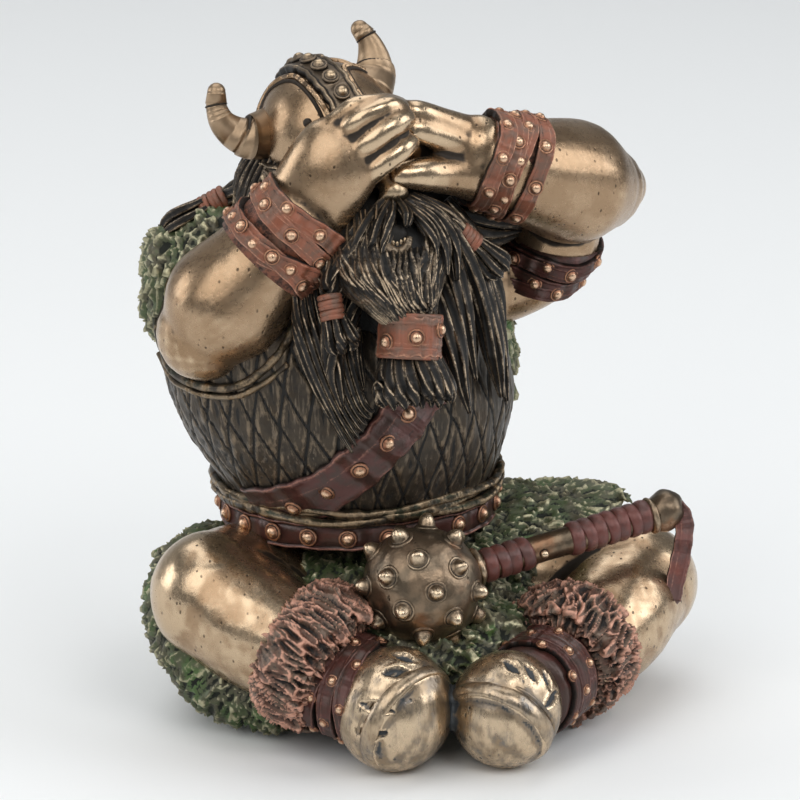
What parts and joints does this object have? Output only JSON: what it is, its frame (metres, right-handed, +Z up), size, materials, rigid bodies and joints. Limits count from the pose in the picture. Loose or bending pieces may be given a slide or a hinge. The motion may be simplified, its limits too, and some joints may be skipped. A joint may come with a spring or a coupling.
{
  "type": "seated viking warrior figurine",
  "caption": "Small cast figurine of a seated, bearded viking warrior in a horned helmet, with both hands over the eyes and a spiked mace across the lap.",
  "frame": {"origin": "middle of the bounding box's underside, on the surface that the figurine stands on", "axes": "+Z up; the figure faces -Y and its left hand is towards +X"},
  "size_m": [0.0926, 0.0827, 0.1099],
  "materials": {
    "bronze": "polished cold cast bronze, speckled, with dark wax in the low places",
    "dark_bronze": "dark bronze with bright rubbed edges",
    "hair": "near black with rubbed gold ridges",
    "red_leather": "painted red brown leather, worn to orange on the edges",
    "maroon_leather": "painted dark maroon leather",
    "copper_studs": "rubbed copper gold",
    "green_fur": "dark green wash with rubbed bronze ridges",
    "red_fur": "dark brown wash with coral rubbed ridges"
  },
  "bodies": {
    "root": {"viking_statue": "bronze"}
  },
  "joints": []
}
